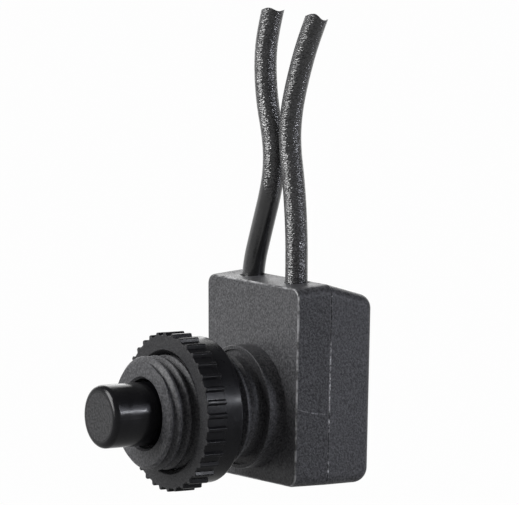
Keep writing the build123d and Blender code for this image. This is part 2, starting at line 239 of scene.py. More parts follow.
def smoothLine(points, fineness):
    # points along the smooth spline that has the route's points as its controls
    curve = bpy.data.curves.new("lead line", "CURVE")
    curve.dimensions = "3D"
    curve.resolution_u = fineness
    spline = curve.splines.new("NURBS")
    spline.points.add(len(points) - 1)
    for control, point in zip(spline.points, points):
        control.co = (*point, 1)
    spline.order_u = 3
    spline.use_endpoint_u = True
    holder = bpy.data.objects.new("lead line", curve)
    mesh = bpy.data.meshes.new_from_object(holder)
    line = [corner.co.copy() for corner in mesh.vertices]
    bpy.data.meshes.remove(mesh)
    bpy.data.curves.remove(curve)
    return line


def leadTube(side, lead):
    line = smoothLine(lead["route"], leads["fineness"])
    steps = [(b - a).length for a, b in zip(line, line[1:])]
    sides = leads["sides"]
    radius = leads["diameter"] / 2
    turns = [math.tau * k / sides for k in range(sides)]
    sight = leads["sight"]
    rightward = Vector((0, 0, 1)).cross(sight).normalized()
    upward = sight.cross(rightward)
    across = rightward

    def cutShift(spoke, heading):
        # the snip runs in the line of sight, with a wavy front rim
        s = spoke.dot(rightward) / radius
        wave = lead["cutTilt"] * s * radius - lead["cutWave"] * math.sin(math.pi * s)
        fall = leads["cutFall"] * max(0, -spoke.dot(sight))
        return (wave - fall - spoke.dot(upward)) / heading.dot(upward)

    corners = []
    for i, centre in enumerate(line):
        heading = (line[min(i + 1, len(line) - 1)] - line[max(i - 1, 0)]).normalized()
        across = (across - heading * across.dot(heading)).normalized()
        other = heading.cross(across)
        spokes = [(across * math.cos(a) + other * math.sin(a)) * radius for a in turns]
        share = max(0, 1 - sum(steps[i:]) / leads["cutBlend"])
        corners += [centre + spoke + heading * (share * cutShift(spoke, heading)) for spoke in spokes]
    # the wire, a little way down inside the cut
    core = leads["core"] / leads["diameter"]
    for depth in (0, leads["coreDepth"]):
        for spoke in spokes:
            corners.append(centre + spoke * core + heading * (cutShift(spoke * core, heading) - depth))
    rings = len(corners) // sides
    faces = []
    for i in range(rings - 1):
        for k in range(sides):
            n = (k + 1) % sides
            faces.append((i * sides + k, i * sides + n, (i + 1) * sides + n, (i + 1) * sides + k))
    faces.append(tuple(reversed(range(sides))))
    faces.append(tuple((rings - 1) * sides + k for k in range(sides)))
    mesh = bpy.data.meshes.new(f"{side} lead")
    mesh.from_pydata(corners, [], faces)
    piece = bpy.data.objects.new(f"insulated_lead_{side}", mesh)
    scene.collection.objects.link(piece)
    only(piece)
    bpy.ops.object.shade_smooth_by_angle(angle=math.radians(leads["smoothAngle"]))
    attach(piece, "housing")
    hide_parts(lead["node"])
    return piece


leadPieces = [leadTube(side, leads[side]) for side in ("left", "right")]


# Front housing: box half, collar and bushing with its helical thread
housing = {
    "frontY": 2.1, "partingY": 6.25, "top": 14.25, "bottom": -8.23,
    "halfWidthTop": 9.65, "halfWidthBottom": 9.15, "draft": 0.3,
    "cornerRadius": 1.2, "cornerSegments": 10,
    "frontEdge": 0.25, "frontSegments": 5, "partingEdge": 0.08,
    "wall": 1.25, "cavityY": 3.35, "cavityHalfWidth": 7.9, "cavityEdge": 0.3, "cavitySegments": 3,
    "collarRadius": 6.9, "collarEdge": 0.12, "collarSteps": 4,
    "recessRadius": 6.45, "recessDepth": 0.25,
    "tipY": -12.3, "tipRadius": 5.8, "boreChamfer": 0.25, "boreRadius": 3.91,
    "lipY": -10.9, "counterRadius": 4.75, "holeSides": 96,
    "notchRadius": 1.35, "notchX": 4.5, "notchY": 4.95, "notchDepth": 3, "notchSides": 48,
    "keyWidth": 0.9, "keyHeight": 0.5, "lap": 0.1,
    "over": 1,               # how far a cutter reaches past what it cuts
    "smoothAngle": 32,
}
thread = {
    "crestRadius": 6.35, "rootRadius": 5.7, "reliefRadius": 5.6, "pitch": 1.27,
    "crest": 0.32, "root": 0.2, "round": 0.07,
    "startY": -14.365, "reliefY": -0.9, "turns": 12, "steps": 120, "merge": 0.001,
    "tipCut": 0.55, "tipSlices": 6,
}


def housingShell():
    h = housing
    half = h["halfWidthTop"]
    box = boxBetween((-half, h["frontY"], h["bottom"]), (half, h["partingY"], h["top"]))
    middleY = (h["frontY"] + h["partingY"]) / 2
    # taper to the bottom, then draft to the front
    pick(box, "VERT", lambda co: co.z < 0)
    narrow = h["halfWidthBottom"] / half
    bpy.ops.transform.resize(value=(narrow, 1, 1), center_override=(0, 0, 0))
    pick(box, "VERT", lambda co: co.y < middleY)
    bpy.ops.transform.resize(value=(1 - h["draft"] / half, 1, 1), center_override=(0, 0, 0))
    pick(box, "VERT", lambda co: co.y < middleY and co.z > 0)
    bpy.ops.transform.translate(value=(0, 0, -h["draft"]))
    pick(box, "EDGE", alongY)
    bpy.ops.mesh.bevel(offset=h["cornerRadius"], segments=h["cornerSegments"], affect="EDGES")
    pick(box, "EDGE", lambda a, b: max(a.y, b.y) < h["frontY"] + touch)
    bpy.ops.mesh.bevel(offset=h["frontEdge"], segments=h["frontSegments"], affect="EDGES")
    pick(box, "EDGE", lambda a, b: min(a.y, b.y) > h["partingY"] - touch)
    bpy.ops.mesh.bevel(offset=h["partingEdge"], segments=1, affect="EDGES")
    bpy.ops.object.mode_set(mode="OBJECT")
    # hollow from the parting side
    inner = h["cavityHalfWidth"]
    ceiling = h["top"] - h["draft"] - h["wall"]
    hollow = boxBetween(
        (-inner, h["cavityY"], h["bottom"] + h["wall"]), (inner, h["partingY"] + h["over"], ceiling))
    pick(hollow, "EDGE", alongY)
    bpy.ops.mesh.bevel(offset=h["cavityEdge"], segments=h["cavitySegments"], affect="EDGES")
    bpy.ops.object.mode_set(mode="OBJECT")
    combine(box, hollow, "DIFFERENCE")
    # hole that the bushing is moulded into, and the slots that hold the leads
    holeRadius = (h["counterRadius"] + thread["reliefRadius"]) / 2
    hole = cylinderAlong(
        "Y", holeRadius, h["frontY"] - h["over"], h["cavityY"] + h["over"], (0, 0), h["holeSides"])
    combine(box, hole, "DIFFERENCE")
    for side in (-1, 1):
        notch = cylinderAlong(
            "Z", h["notchRadius"], h["top"] - h["notchDepth"], h["top"] + h["over"],
            (side * h["notchX"], h["notchY"]), h["notchSides"])
        pick(notch, "VERT", lambda co: co.y > h["notchY"] + touch)
        bpy.ops.transform.translate(value=(0, h["partingY"] - h["notchY"] + h["lap"], 0))
        bpy.ops.object.mode_set(mode="OBJECT")
        combine(box, notch, "DIFFERENCE")
    return box


def threadProfile():
    # one pitch of the thread, from groove to groove, with its corners eased
    t = thread
    flank = (t["pitch"] - t["crest"] - t["root"]) / 2
    depth = t["crestRadius"] - t["rootRadius"]
    ease = t["round"]
    along = ease * flank / depth
    y = t["root"] / 2
    points = [(t["rootRadius"], 0), (t["rootRadius"], y - ease), (t["rootRadius"] + ease, y + along)]
    y += flank
    points += [(t["crestRadius"] - ease, y - along), (t["crestRadius"], y + ease)]
    points += [(r, t["pitch"] - y) for r, y in reversed(points)]
    return points


def threadSkin():
    h, t = housing, thread
    bushing = drawProfile("bushing", threadProfile())
    only(bushing)
    bushing.location.y = t["startY"]
    bpy.ops.object.transform_apply(location=True, rotation=True, scale=True)
    screw = bushing.modifiers.new("thread", "SCREW")
    screw.axis = "Y"
    screw.angle = math.tau
    screw.screw_offset = t["pitch"]
    screw.iterations = t["turns"]
    screw.steps = screw.render_steps = t["steps"]
    screw.use_merge_vertices = True
    screw.merge_threshold = t["merge"]
    bpy.ops.object.modifier_apply(modifier=screw.name)
    bpy.ops.object.mode_set(mode="EDIT")
    bpy.ops.mesh.select_all(action="SELECT")
    bpy.ops.mesh.remove_doubles(threshold=t["merge"])
    bpy.ops.mesh.bisect(plane_co=(0, t["reliefY"], 0), plane_no=(0, 1, 0), clear_outer=True)
    for k in range(t["tipSlices"], -1, -1):
        sliceY = h["tipY"] + t["tipCut"] * k / t["tipSlices"]
        bpy.ops.mesh.select_all(action="SELECT")
        bpy.ops.mesh.bisect(plane_co=(0, sliceY, 0), plane_no=(0, 1, 0), clear_inner=k == 0)
    bpy.ops.object.mode_set(mode="OBJECT")
    # a cone cuts the crests back at the tip, and they fall away to the relief by the collar
    for corner in bushing.data.vertices:
        co = corner.co
        radius = math.hypot(co.x, co.z)
        tipRadius = h["tipRadius"] + co.y - h["tipY"]
        reliefRadius = t["reliefRadius"] + t["reliefY"] - co.y
        wanted = min(radius, tipRadius, reliefRadius)
        if co.y < h["tipY"] + t["merge"]:
            wanted = h["tipRadius"]
        co.x *= wanted / radius
        co.z *= wanted / radius
    return bushing


def growRim(piece, startY, startRadius, stations):
    # carries the open rim at startY on through each (radius, y)
    near = 2 * thread["merge"]
    pick(piece, "RIM", lambda a, b: max(abs(a.y - startY), abs(b.y - startY)) < near)
    y, radius = startY, startRadius
    for nextRadius, nextY in stations:
        bpy.ops.mesh.extrude_region_move(TRANSFORM_OT_translate={"value": (0, nextY - y, 0)})
        grow = nextRadius / radius
        bpy.ops.transform.resize(value=(grow, 1, grow), center_override=(0, 0, 0))
        y, radius = nextY, nextRadius


def roundedRim(radius, y, edge, steps):
    # quarter round from a front face out to a wall of that radius
    turns = [math.pi / 2 * k / steps for k in range(steps + 1)]
    return [(radius - edge + edge * math.sin(a), y + edge - edge * math.cos(a)) for a in turns]


def threadedBushing():
    h, t = housing, thread
    bushing = threadSkin()
    foot = h["cavityY"] + touch
    tip = h["tipY"]
    chamfer = h["boreChamfer"]
    bore = [
        (h["boreRadius"] + chamfer, tip), (h["boreRadius"], tip + chamfer), (h["boreRadius"], h["lipY"]),
        (h["counterRadius"], h["lipY"]), (h["counterRadius"], foot),
    ]
    growRim(bushing, tip, h["tipRadius"], bore)
    recess = h["recessDepth"]
    collar = [(t["reliefRadius"], recess), (h["recessRadius"], recess), (h["recessRadius"], 0)]
    collar += roundedRim(h["collarRadius"], 0, h["collarEdge"], h["collarSteps"])
    inside = (h["frontY"] + h["cavityY"]) / 2
    collar += [(h["collarRadius"], inside), (t["reliefRadius"], inside), (t["reliefRadius"], foot)]
    growRim(bushing, t["reliefY"], t["reliefRadius"], collar)
    pick(bushing, "RIM", lambda a, b: min(a.y, b.y) > foot - touch)
    bpy.ops.mesh.bridge_edge_loops()
    bpy.ops.mesh.select_all(action="SELECT")
    bpy.ops.mesh.normals_make_consistent(inside=False)
    bpy.ops.object.mode_set(mode="OBJECT")
    return bushing


def frontHousing():
    h = housing
    piece = housingShell()
    bushing = threadedBushing()
    combine(piece, bushing, "UNION")
    # keys in the bore that stop the button from turning
    for side in (-1, 1):
        reach = side * h["counterRadius"]
        key = boxBetween(
            (-h["keyWidth"] / 2, h["lipY"] - h["lap"], reach - h["keyHeight"]),
            (h["keyWidth"] / 2, h["cavityY"], reach + h["keyHeight"]))
        combine(piece, key, "UNION")
    piece.name = "moulded_front"
    finishPiece(piece, h["smoothAngle"])
    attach(piece, "housing")
    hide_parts("front_housing")
    print("front housing:", len(piece.data.polygons), "faces")
    return piece


frontPiece = frontHousing()


# Ring nut: a turned ring, with ribs for the fingers on its front half
nut = {
    "frontY": -9.21, "rearY": -4.13, "bandRadius": 8.15, "bore": 6.45,
    "chamfer": 0.5, "rearEdge": 0.3, "rearSteps": 5, "frontEdge": 0.12, "stepEdge": 0.1, "edgeSteps": 3,
    "ringRadius": 8.53, "ribs": 36, "startAngle": 3, "ribHeight": 0.34, "ribBase": 0.86, "ribTip": 0.32,
    "ribLength": 2.5, "ribEdge": 0.07, "ribSegments": 3,
    "steps": 180, "merge": 0.0005, "smoothAngle": 35,
}


def nutRing():
    n = nut
    front = roundedRim(n["ringRadius"], 0, n["frontEdge"], n["edgeSteps"])
    step = roundedRim(n["ringRadius"], 0, n["stepEdge"], n["edgeSteps"])
    rear = roundedRim(n["bandRadius"], 0, n["rearEdge"], n["rearSteps"])
    stepY = n["frontY"] + n["ribLength"]
    points = [(n["bore"], n["frontY"] + n["chamfer"]), (n["bore"] + n["chamfer"], n["frontY"])]
    points += [(r, n["frontY"] + y) for r, y in front]
    points += [(r, stepY - y) for r, y in reversed(step)]
    points.append((n["bandRadius"], stepY))
    points += [(r, n["rearY"] - y) for r, y in reversed(rear)]
    points += [(n["bore"] + n["chamfer"], n["rearY"]), (n["bore"], n["rearY"] - n["chamfer"])]
    points.append(points[0])
    ring = drawProfile("nut_ring", points)
    spinRound(ring, n["steps"], n["merge"])
    return ring


def nutRibs():
    # one rib, tapered and eased, then copied round the axis
    n = nut
    foot = n["ringRadius"] - n["ribHeight"] / 2
    tip = n["ringRadius"] + n["ribHeight"]
    halfBase = n["ribBase"] / 2
    rib = boxBetween((foot, n["frontY"], -halfBase), (tip, n["frontY"] + n["ribLength"], halfBase))
    pick(rib, "VERT", lambda co: co.x > n["ringRadius"])
    bpy.ops.transform.resize(
        value=(1, 1, n["ribTip"] / n["ribBase"]), center_override=(0, 0, 0))
    pick(rib, "EDGE", lambda a, b: max(a.x, b.x) > n["ringRadius"])
    bpy.ops.mesh.bevel(offset=n["ribEdge"], segments=n["ribSegments"], affect="EDGES")
    bpy.ops.object.mode_set(mode="OBJECT")
    rib.data.transform(Matrix.Rotation(math.radians(-n["startAngle"]), 4, "Y"))
    copies = []
    for k in range(1, n["ribs"]):
        copy = rib.copy()
        copy.data = rib.data.copy()
        copy.data.transform(Matrix.Rotation(math.tau * k / n["ribs"], 4, "Y"))
        scene.collection.objects.link(copy)
        copies.append(copy)
    only(rib)
    for copy in copies:
        copy.select_set(True)
    bpy.ops.object.join()
    return rib


def ribbedNut():
    piece = nutRing()
    combine(piece, nutRibs(), "UNION")
    piece.name = "ribbed_ring_nut"
    finishPiece(piece, nut["smoothAngle"])
    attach(piece, "nut")
    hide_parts("mounting_nut")
    print("ring nut:", len(piece.data.polygons), "faces")
    return piece


nutPiece = ribbedNut()


# Return spring behind the button, modelled at one length, though the real one closes up when the button
# goes in
spring = {
    "startY": -14.22, "height": 9.7, "coilRadius": 1.9, "wire": 0.5, "turns": 8,
    "steps": 40, "wireSides": 14, "seatY": -4.22, "length": 10.3, "stroke": 2.8, "smoothAngle": 40,
}


def coiledSpring():
    s = spring
    bpy.ops.object.select_all(action="DESELECT")
    bpy.ops.mesh.primitive_circle_add(
        vertices=s["wireSides"], radius=s["wire"] / 2, location=(s["coilRadius"], s["startY"], 0))
    piece = bpy.context.object
    piece.name = "coiled_return_spring"
    bpy.ops.object.transform_apply(location=True, rotation=True, scale=True)
    coil = piece.modifiers.new("coil", "SCREW")
    coil.axis = "Y"
    coil.angle = math.tau
    coil.screw_offset = s["height"] / s["turns"]
    coil.iterations = s["turns"]
    coil.steps = coil.render_steps = s["steps"]
    bpy.ops.object.modifier_apply(modifier=coil.name)
    bpy.ops.object.mode_set(mode="EDIT")
    bpy.ops.mesh.select_all(action="SELECT")
    bpy.ops.mesh.fill_holes(sides=s["wireSides"])
    bpy.ops.mesh.select_all(action="SELECT")
    bpy.ops.mesh.normals_make_consistent(inside=False)
    bpy.ops.object.mode_set(mode="OBJECT")
    finishPiece(piece, s["smoothAngle"])
    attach(piece, "housing")
    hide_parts("return_spring")
    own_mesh(piece)
    print("spring:", len(piece.data.polygons), "faces")
    return piece


springPiece = coiledSpring()


# Finishes: every node reads the piece's own coordinates, in metres
def newFinish(name):
    finish = bpy.data.materials.new(name)
    finish.use_nodes = True
    tree = finish.node_tree
    tree.nodes.clear()
    shader = tree.nodes.new("ShaderNodeBsdfPrincipled")
    output = tree.nodes.new("ShaderNodeOutputMaterial")
    tree.links.new(shader.outputs["BSDF"], output.inputs["Surface"])
    return finish, tree, shader


def put(tree, kind, inputs, **settings):
    # a node with its settings, each input given a value or the socket that feeds it
    made = tree.nodes.new("ShaderNode" + kind)
    for name, value in settings.items():
        setattr(made, name, value)
    for name, value in inputs.items():
        if isinstance(value, bpy.types.NodeSocket):
            tree.links.new(value, made.inputs[name])
        else:
            made.inputs[name].default_value = value
    return made


def wire(tree, shader, **sockets):
    # feeds the shader's colour, roughness and normal
    names = {"colour": "Base Color", "rough": "Roughness", "normal": "Normal"}
    for kind, socket in sockets.items():
        tree.links.new(socket, shader.inputs[names[kind]])


def objectPlace(tree):
    return put(tree, "TexCoord", {}).outputs["Object"]


def axes(tree, place):
    split = put(tree, "SeparateXYZ", {"Vector": place})
    return [split.outputs[axis] for axis in "XYZ"]


def arithmetic(tree, operation, *values):
    made = put(tree, "Math", dict(enumerate(values)), operation=operation)
    return made.outputs["Value"]


def noise(tree, place, size, detail=2.0, rough=0.55):
    # mottling with patches about size millimetres across
    made = put(tree, "TexNoise", {
        "Vector": place, "Scale": 1 / (size * mm), "Detail": detail, "Roughness": rough})
    return made.outputs["Fac"]


def spread(tree, value, low, high, toLow, toHigh):
    made = put(tree, "MapRange", {
        "Value": value, "From Min": low, "From Max": high, "To Min": toLow, "To Max": toHigh})
    return made.outputs["Result"]


def over(tree, value, limits, toLow, toHigh):
    # from toLow to toHigh as the value goes from the first limit to the second
    return spread(tree, value, *limits, toLow, toHigh)


def shades(tree, value, low, high):
    # from one colour to another as the value goes from 0 to 1
    made = put(tree, "ValToRGB", {"Fac": value})
    made.color_ramp.elements[0].color = (*low, 1)
    made.color_ramp.elements[1].color = (*high, 1)
    return made.outputs["Color"]


def blendColours(tree, factor, a, b):
    # a mix node's colours go in at 6 and 7, and come out at 2
    made = put(tree, "Mix", {"Factor": factor, 6: a, 7: b}, data_type="RGBA")
    return made.outputs[2]


def grain(tree, height, depth, strength):
    # relief of that depth in millimetres
    made = put(tree, "Bump", {"Height": height, "Distance": depth * mm, "Strength": strength})
    return made.outputs["Normal"]


mostNoise = (0.3, 0.7)        # nearly all of what a noise gives lies between these


# Moulded body: spark-eroded grain all over, with painted highlights along its weld line and the flash at
# its parting line
bodyFinish = {
    "dark": (0.02, 0.02, 0.022), "light": (0.09, 0.09, 0.095), "toneRange": (0.35, 0.7),
    "grain": 0.24, "depth": 0.05, "strength": 1.0, "smudge": 3.5,
    "roughLow": 0.38, "roughHigh": 0.5, "specular": 0.25,
    "seamHighlightTone": (0.9, 0.9, 0.92), "sideX": 8.6, "sideEase": 0.1, "frontEase": 0.02,
    "weldZ": -0.12, "weldCurve": 44, "weldWidth": 0.055, "weldCore": 1 / 3, "weldShare": 0.28,
    "flashY": 6.3, "flashWidth": 0.1, "flashCore": 0.7, "flashPatch": 0.8,
    "flashZ": 3.4, "flashFull": 3.2, "flashReach": 5.0, "flashThick": 0.12, "flashThin": -0.06,
    "dashRange": (0.48, 0.6),
}


def paintedSeamHighlights(tree, place, look):
    # 1 where a painted highlight goes: on the hairline where the melt met, on the right-hand side, and in
    #                                   dashes on the flash along the parting line
    x, y, z = axes(tree, place)
    sideStart, sideEnd = look["sideX"] * mm, (look["sideX"] + look["sideEase"]) * mm
    ahead = arithmetic(tree, "SUBTRACT", housing["partingY"] * mm, y)
    square = arithmetic(tree, "POWER", ahead, 2.0)
    line = arithmetic(tree, "MULTIPLY_ADD", square, look["weldCurve"], look["weldZ"] * mm)
    gap = arithmetic(tree, "ABSOLUTE", arithmetic(tree, "SUBTRACT", z, line))
    width = look["weldWidth"] * mm
    weld = spread(tree, gap, width * look["weldCore"], width, look["weldShare"], 0)
    front = spread(tree, ahead, 0, look["frontEase"] * mm, 0, 1)
    right = spread(tree, x, sideStart, sideEnd, 0, 1)
    weld = arithmetic(tree, "MULTIPLY", weld, arithmetic(tree, "MULTIPLY", front, right))
    # the flash is thickest just above the axis
    off = arithmetic(tree, "ABSOLUTE", arithmetic(tree, "SUBTRACT", y, look["flashY"] * mm))
    width = look["flashWidth"] * mm
    flash = spread(tree, off, width * look["flashCore"], width, 1, 0)
    outer = spread(tree, arithmetic(tree, "ABSOLUTE", x), sideStart, sideEnd, 0, 1)
    height = arithmetic(tree, "ABSOLUTE", arithmetic(tree, "SUBTRACT", z, look["flashZ"] * mm))
    thick = spread(
        tree, height, look["flashFull"] * mm, look["flashReach"] * mm,
        look["flashThick"], look["flashThin"])
    patch = arithmetic(tree, "ADD", noise(tree, place, look["flashPatch"], detail=3), thick)
    dashes = over(tree, patch, look["dashRange"], 0, 1)
    flash = arithmetic(tree, "MULTIPLY", flash, arithmetic(tree, "MULTIPLY", outer, dashes))
    return arithmetic(tree, "MAXIMUM", weld, flash)


def mouldedBody(look):
    finish, tree, shader = newFinish("eroded black moulding")
    place = objectPlace(tree)
    fine = noise(tree, place, look["grain"], detail=3)
    smudge = noise(tree, place, look["smudge"], detail=3)
    tone = over(tree, fine, look["toneRange"], 0, 1)
    skin = shades(tree, tone, look["dark"], look["light"])
    # near-white tone that paints the highlight onto the weld line and the flash
    paintedHighlight = shades(tree, tone, look["light"], look["seamHighlightTone"])
    wire(
        tree, shader,
        colour=blendColours(tree, paintedSeamHighlights(tree, place, look), skin, paintedHighlight),
        rough=over(tree, smudge, mostNoise, look["roughLow"], look["roughHigh"]),
        normal=grain(tree, fine, look["depth"], look["strength"]))
    shader.inputs["Specular IOR Level"].default_value = look["specular"]
    return finish


bodySkin = mouldedBody(bodyFinish)


# Edges of the moulding: rubbed smooth, and given a lighter tone that paints a highlight along them
edgeWearAndHighlight = {
    # the light tone is partly wear and partly a painted highlight along the edge
    "dark": (0.04, 0.04, 0.042), "light": (0.34, 0.34, 0.35), "toneRange": (0.4, 0.65), "patch": 0.9,
    "depth": 0.02, "strength": 0.5, "roughLow": 0.22, "roughHigh": 0.4, "specular": 0.6,
    "slantLow": 0.3, "slantHigh": 0.95,
}


def wornEdgeWithPaintedHighlight(look):
    finish, tree, shader = newFinish("rubbed moulding edge with painted highlight")
    patch = noise(tree, objectPlace(tree), look["patch"], detail=4)
    tone = over(tree, patch, look["toneRange"], 0, 1)
    wire(
        tree, shader,
        colour=shades(tree, tone, look["dark"], look["light"]),
        rough=over(tree, patch, mostNoise, look["roughHigh"], look["roughLow"]),
        normal=grain(tree, patch, look["depth"], look["strength"]))
    shader.inputs["Specular IOR Level"].default_value = look["specular"]
    return finish


def wearAndHighlightEdges(piece, look):
    # slanting faces of the rounded front edges and of the edge at the parting line get the worn tone with
    # its painted highlight
    h = housing
    piece.data.materials.append(wornEdgeWithPaintedHighlight(look))
    clear = h["collarRadius"] + h["frontEdge"]
    for face in piece.data.polygons:
        x, y, z = face.center / mm
        slant = look["slantLow"] < abs(face.normal.y) < look["slantHigh"]
        front = h["frontY"] < y < h["frontY"] + h["frontEdge"] and math.hypot(x, z) > clear
        if slant and (front or y > h["partingY"] - h["partingEdge"]):
            face.material_index = 1


# Polished moulding that is matt on one face, where mattShare gives 1
def polished(name, look, mattShare):
    finish, tree, shader = newFinish(name)
    place = objectPlace(tree)
    share = mattShare(tree, place, look)
    fine = noise(tree, place, look["grain"], detail=3)
    smudge = noise(tree, place, look["smudge"], detail=3)
    gloss = shades(tree, smudge, look["dark"], look["light"])
    speck = over(tree, fine, look["speckRange"], 0, 1)
    matt = shades(tree, speck, look["faceDark"], look["faceTone"])
    worn = over(tree, smudge, look["wornRange"], look["gloss"], look["glossWorn"])
    wire(
        tree, shader,
        colour=blendColours(tree, share, gloss, matt),
        rough=spread(tree, share, 0, 1, worn, look["matt"]),
        normal=grain(tree, fine, look["depth"], share))
    shader.inputs["Specular IOR Level"].default_value = look["specular"]
    return finish


# Ring nut: polished round its sides, eroded on its front face
nutFinish = {
    "dark": (0.005, 0.005, 0.006), "light": (0.012, 0.012, 0.013), "smudge": 2.2,
    "faceDark": (0.005, 0.005, 0.006), "faceTone": (0.044, 0.044, 0.046),
    "faceDepth": 0.06, "faceEase": 0.04,
    "grain": 0.18, "depth": 0.015, "speckRange": (0.3, 0.7), "wornRange": (0.35, 0.7),
    "gloss": 0.22, "glossWorn": 0.34, "matt": 0.5, "specular": 0.14,
}


def nutFace(tree, place, look):
    y = axes(tree, place)[1]
    start = nut["frontY"] + look["faceDepth"]
    return spread(tree, y, start * mm, (start + look["faceEase"]) * mm, 1, 0)


nutSkin = polished("polished nut moulding", nutFinish, nutFace)


# Button: polished barrel, fine matt disc on its end
buttonFinish = {
    "dark": (0.003, 0.003, 0.004), "light": (0.008, 0.008, 0.009), "smudge": 1.8,
    "faceDark": (0.008, 0.008, 0.009), "faceTone": (0.043, 0.043, 0.045),
    "endStart": -17.9, "endStop": -17.86, "discRadius": 2.7, "discEdge": 0.03,
    "grain": 0.26, "depth": 0.015, "speckRange": (0.36, 0.66), "wornRange": (0.35, 0.7),
    "gloss": 0.16, "glossWorn": 0.26, "matt": 0.6, "specular": 0.25,
}


def buttonDisc(tree, place, look):
    x, y, z = axes(tree, place)
    atEnd = spread(tree, y, look["endStart"] * mm, look["endStop"] * mm, 1, 0)
    flat = put(tree, "CombineXYZ", {"X": x, "Z": z}).outputs["Vector"]
    radius = put(tree, "VectorMath", {0: flat}, operation="LENGTH").outputs["Value"]
    rim = look["discRadius"]
    inside = spread(tree, radius, (rim - look["discEdge"]) * mm, rim * mm, 1, 0)
    return arithmetic(tree, "MULTIPLY", atEnd, inside)


buttonSkin = polished("polished button moulding", buttonFinish, buttonDisc)


# Leads: soft vinyl with a speckled sheen, and pale chalky specks that also paint in the glints of that
# sheen
leadFinish = {
    "dark": (0.006, 0.006, 0.006), "light": (0.014, 0.014, 0.015), "patch": 1.5,
    "grain": 0.3, "flatten": 3.0, "depth": 0.11, "strength": 1.0,
    "bloomAndGlintTone": (0.06, 0.06, 0.0618), "bloomAndGlintSize": 0.17, "bloomAndGlintRange": (0.45, 0.6),
    "roughLow": 0.18, "roughHigh": 0.24, "specular": 1.0,
    "smoothX": -0.4, "smoothSide": 1.0, "smoothZ": 26.5, "smoothEase": 2.5, "smoothStrength": 0.08,
}


def vinyl(look):
    finish, tree, shader = newFinish("black vinyl insulation")
    place = objectPlace(tree)
    # pebbles wider than they are tall, so the sheen stays in bands along the lead
    squat = put(tree, "Mapping", {"Vector": place, "Scale": (1, 1, look["flatten"])})
    fine = noise(tree, squat.outputs["Vector"], look["grain"], detail=0)
    patch = noise(tree, place, look["patch"])
    # the foot of the left lead has less relief and none of the pale specks, so it stays darker
    x, _, z = axes(tree, place)
    leftward = spread(tree, x, look["smoothX"] * mm, (look["smoothX"] + look["smoothSide"]) * mm, 1, 0)
    low = spread(tree, z, (look["smoothZ"] - look["smoothEase"]) * mm, look["smoothZ"] * mm, 1, 0)
    foot = arithmetic(tree, "MULTIPLY", leftward, low)
    pebbles = spread(tree, foot, 0, 1, look["strength"], look["smoothStrength"])
    # pale chalky specks, which also stand in for the glints of the sheen: painted glints
    speck = over(tree, noise(tree, place, look["bloomAndGlintSize"], detail=1), look["bloomAndGlintRange"], 0, 1)
    speck = arithmetic(tree, "MULTIPLY", speck, spread(tree, foot, 0, 1, 1, 0))
    clean = shades(tree, patch, look["dark"], look["light"])
    pale = shades(tree, patch, look["light"], look["bloomAndGlintTone"])
    wire(
        tree, shader,
        colour=blendColours(tree, speck, clean, pale),
        rough=over(tree, patch, mostNoise, look["roughLow"], look["roughHigh"]),
        normal=grain(tree, fine, look["depth"], pebbles))
    shader.inputs["Specular IOR Level"].default_value = look["specular"]
    return finish


leadSkin = vinyl(leadFinish)


# Wire, contacts and springs: drawn or stamped metal, with fine scratches in its relief
metals = {
    "bare copper": {
        "dark": (0.28, 0.12, 0.06), "light": (0.55, 0.27, 0.13), "patch": 0.96,
        "rough": (0.25, 0.45), "grain": 0.12, "depth": 0.01, "strength": 0.4},
    "drawn steel": {
        "dark": (0.42, 0.42, 0.44), "light": (0.62, 0.62, 0.64), "patch": 0.64,
        "rough": (0.22, 0.4), "grain": 0.08, "depth": 0.004, "strength": 0.4},
    "stamped brass": {
        "dark": (0.5, 0.34, 0.12), "light": (0.78, 0.58, 0.25), "patch": 1.2,
        "rough": (0.25, 0.42), "grain": 0.15, "depth": 0.006, "strength": 0.4},
    "contact silver": {
        "dark": (0.68, 0.67, 0.64), "light": (0.86, 0.85, 0.82), "patch": 0.8,
        "rough": (0.18, 0.32), "grain": 0.1, "depth": 0.004, "strength": 0.4},
}


def metal(name, look):
    finish, tree, shader = newFinish(name)
    place = objectPlace(tree)
    fine = noise(tree, place, look["grain"], detail=4)
    patch = noise(tree, place, look["patch"])
    wire(
        tree, shader,
        colour=shades(tree, patch, look["dark"], look["light"]),
        rough=over(tree, fine, mostNoise, *look["rough"]),
        normal=grain(tree, fine, look["depth"], look["strength"]))
    shader.inputs["Metallic"].default_value = 1.0
    return finish


metalSkins = {name: metal(name, look) for name, look in metals.items()}


# Rotor: natural nylon
nylonFinish = {
    "dark": (0.62, 0.6, 0.54), "light": (0.78, 0.77, 0.72), "patch": 1.2,
    "rough": (0.4, 0.55), "grain": 0.1, "depth": 0.005, "strength": 0.4,
    "glow": 0.1, "glowReach": (0.001, 0.001, 0.0008),
}


def nylon(look):
    finish, tree, shader = newFinish("natural nylon")
    place = objectPlace(tree)
    patch = noise(tree, place, look["patch"], detail=3)
    fine = noise(tree, place, look["grain"])
    wire(
        tree, shader,
        colour=shades(tree, patch, look["dark"], look["light"]),
        rough=over(tree, patch, mostNoise, *look["rough"]),
        normal=grain(tree, fine, look["depth"], look["strength"]))
    shader.inputs["Subsurface Weight"].default_value = look["glow"]
    shader.inputs["Subsurface Radius"].default_value = look["glowReach"]
    return finish


slotSkins = {
    "housing_plastic": bodySkin, "nut_plastic": nutSkin, "button_plastic": buttonSkin,
    "rotor_plastic": nylon(nylonFinish), "lead_insulation": leadSkin,
    "spring_steel": metalSkins["drawn steel"], "contact_brass": metalSkins["stamped brass"],
    "contact_silver": metalSkins["contact silver"], "conductor_copper": metalSkins["bare copper"],
}


def dress(piece, skin):
    piece.data.materials.clear()
    piece.data.materials.append(skin)


